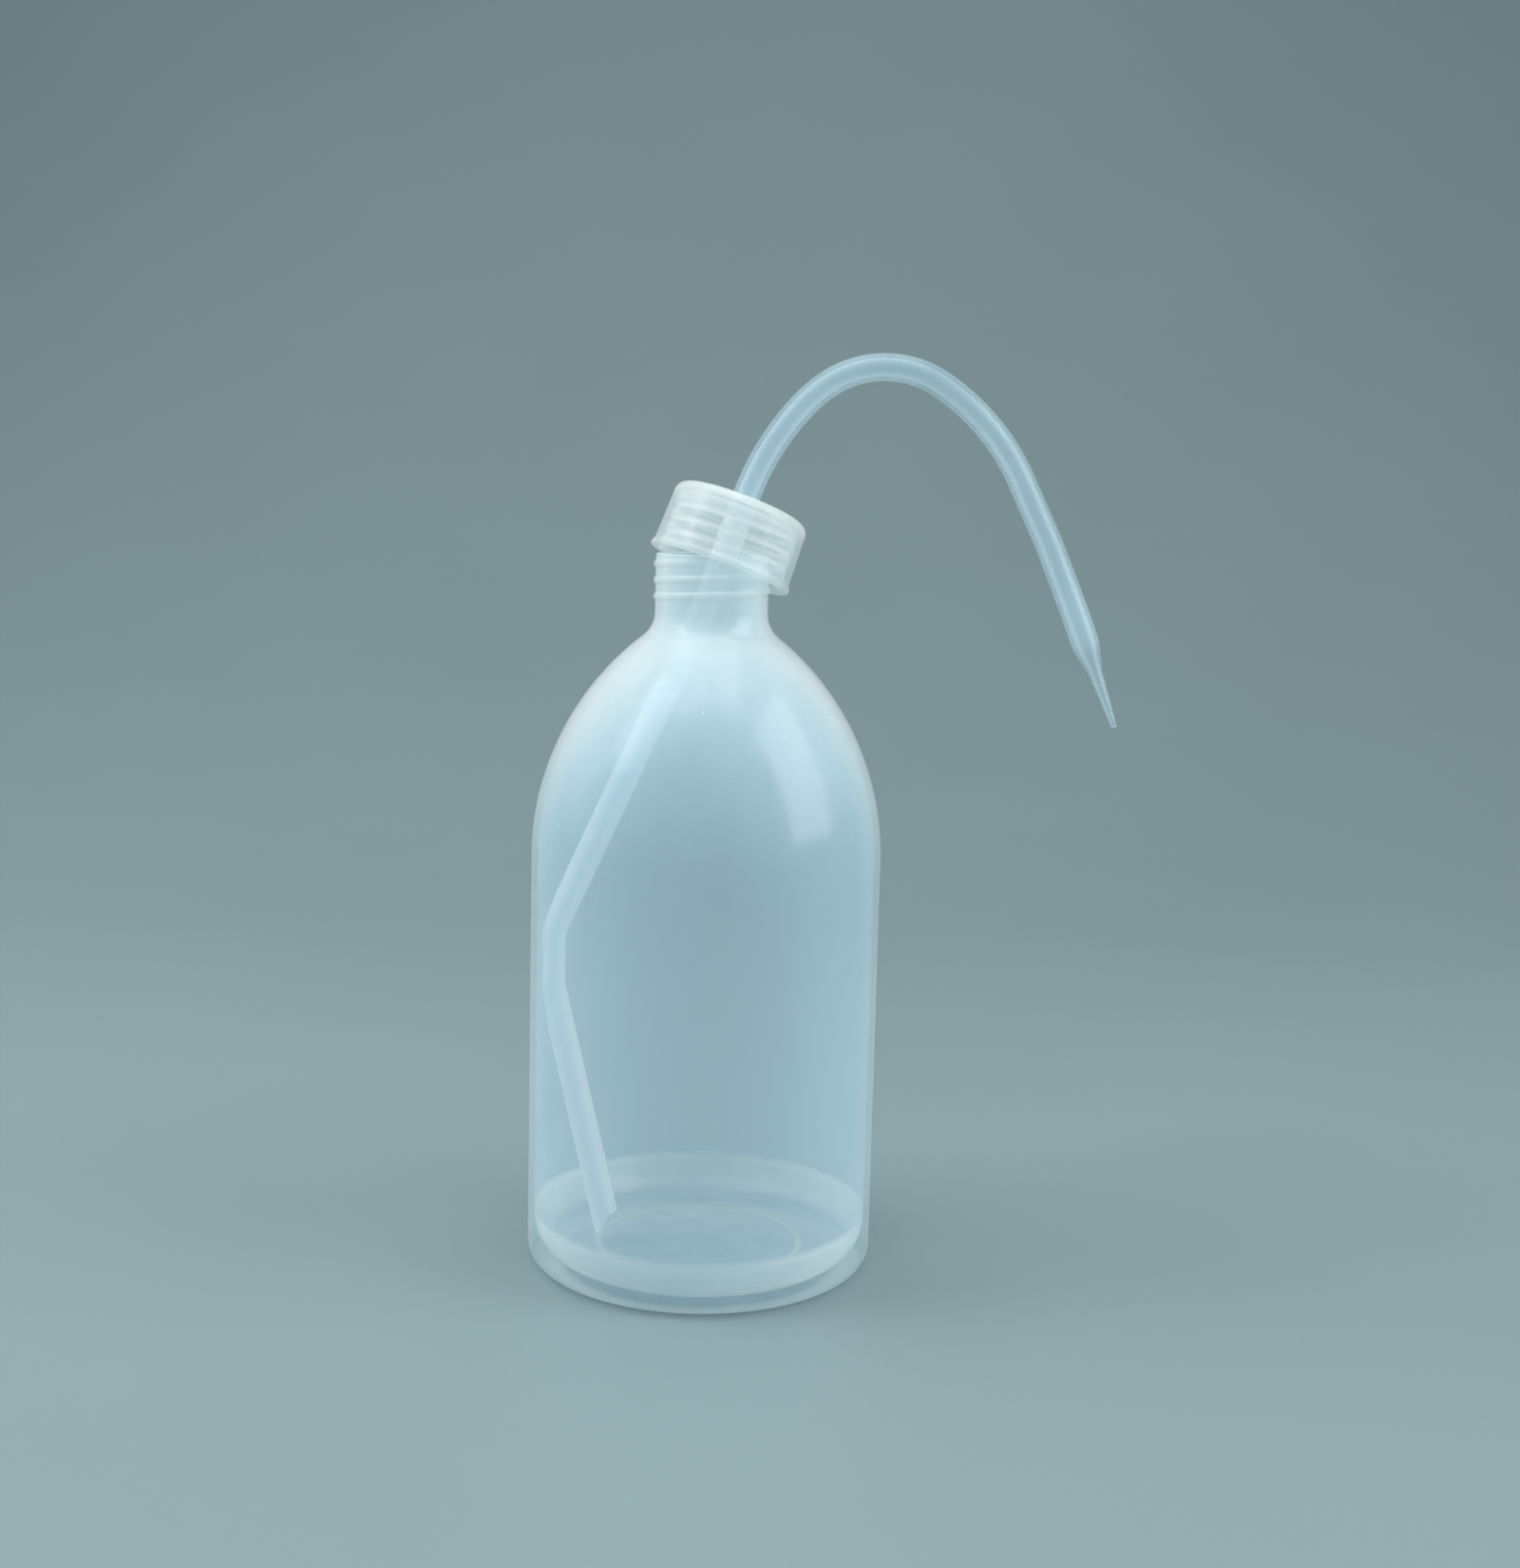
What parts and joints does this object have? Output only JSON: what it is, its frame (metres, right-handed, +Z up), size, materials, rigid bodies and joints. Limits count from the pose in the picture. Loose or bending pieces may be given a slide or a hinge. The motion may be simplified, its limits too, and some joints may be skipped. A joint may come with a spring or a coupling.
{
  "type": "wash bottle",
  "caption": "Squeezable translucent laboratory bottle with a loose screw cap and one bent tube ending in a fine nozzle, its dip leg kinked against the wall.",
  "frame": {"origin": "centre of the object's bounding box in plan, on the surface the bottle stands on; the bottle's own axis is 24.46 mm towards -X from it", "axes": "+Z up along the bottle's axis, +X towards the nozzle, -Y the front"},
  "size_m": [0.1242, 0.0752, 0.1979],
  "materials": {
    "bottle_polymer": "milky translucent, smooth and slightly waxy",
    "cap_polymer": "whitish translucent, smooth",
    "tube_polymer": "clear to milky translucent, smooth"
  },
  "bodies": {
    "bottle": {"bottle": "bottle_polymer"},
    "tube": {"delivery_tube": "tube_polymer"},
    "cap": {"screw_cap": "cap_polymer"}
  },
  "joints": [
    {"name": "closure_draw", "type": "slide", "parent": "bottle", "child": "tube", "axis": [0.4118, 0.033, 0.9107], "range_m": [0, 0.085]},
    {"name": "cap_turn", "type": "hinge", "parent": "tube", "child": "cap", "pos_m": [-0.02306, 0.0006, 0.1515], "axis": [0.3256, 0.1561, 0.9326], "continuous": true}
  ]
}
